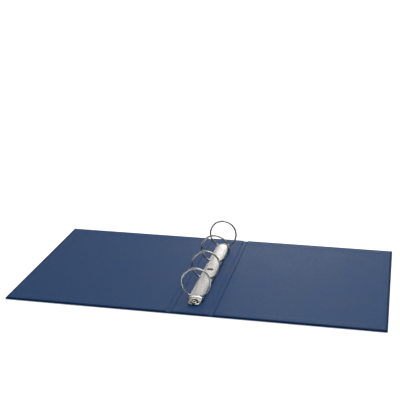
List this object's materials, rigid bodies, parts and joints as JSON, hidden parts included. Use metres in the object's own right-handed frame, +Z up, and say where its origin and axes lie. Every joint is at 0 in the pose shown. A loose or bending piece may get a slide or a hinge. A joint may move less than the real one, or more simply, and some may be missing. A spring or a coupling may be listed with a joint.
{
  "type": "ring binder",
  "caption": "Board ring binder lying open, with covers hinged along the spine and a riveted metal mechanism of split rings that swing open.",
  "frame": {"origin": "middle of the spine's outside face, which is the bottom of the binder as it lies open", "axes": "+X from the front cover to the back cover, +Y along the spine away from the near edge, +Z up out of the inside of the open binder"},
  "size_m": [0.616, 0.348, 0.059],
  "materials": {
    "covering": "fine leather-grain navy covering, satin",
    "lining": "fine-grain navy lining, satin",
    "grey_board": "raw grey board",
    "housing_plate": "bright nickel plate on pressed sheet steel",
    "blade_plate": "nickel plate on sheet steel",
    "ring_wire": "polished nickel plate on round steel wire",
    "rivet": "nickel-plated steel"
  },
  "bodies": {
    "spine": {"spine_covering": "covering", "spine_board": "grey_board", "spine_lining": "lining", "rivet_front": "rivet", "rivet_rear": "rivet", "rivet_collar_front": "rivet", "rivet_collar_rear": "rivet", "ring_housing": "housing_plate"},
    "front_cover": {"front_cover_covering": "covering", "front_cover_board": "grey_board", "front_cover_lining": "lining"},
    "back_cover": {"back_cover_covering": "covering", "back_cover_board": "grey_board", "back_cover_lining": "lining"},
    "left_rings": {"left_blade": "blade_plate", "left_ring_half_1": "ring_wire", "left_ring_half_2": "ring_wire", "left_ring_half_3": "ring_wire", "left_ring_half_4": "ring_wire"},
    "right_rings": {"right_blade": "blade_plate", "right_ring_half_1": "ring_wire", "right_ring_half_2": "ring_wire", "right_ring_half_3": "ring_wire", "right_ring_half_4": "ring_wire"}
  },
  "joints": [
    {"name": "front_cover_hinge", "type": "hinge", "parent": "spine", "child": "front_cover", "pos_m": [-0.034, 0, 0.0002], "axis": [0, 1, 0], "range_deg": [-90, 90]},
    {"name": "back_cover_hinge", "type": "hinge", "parent": "spine", "child": "back_cover", "pos_m": [0.034, 0, 0.0002], "axis": [0, -1, 0], "range_deg": [-90, 90]},
    {"name": "left_rings_open", "type": "hinge", "parent": "spine", "child": "left_rings", "pos_m": [-0.0106, 0, 0.0057], "axis": [0, -1, 0], "range_deg": [0, 10.5]},
    {"name": "right_rings_open", "type": "hinge", "parent": "spine", "child": "right_rings", "pos_m": [0.0106, 0, 0.0057], "axis": [0, 1, 0], "range_deg": [0, 10.5]}
  ],
  "couplings": [
    {"joint": "right_rings_open", "follows": "left_rings_open", "ratio": 1}
  ]
}
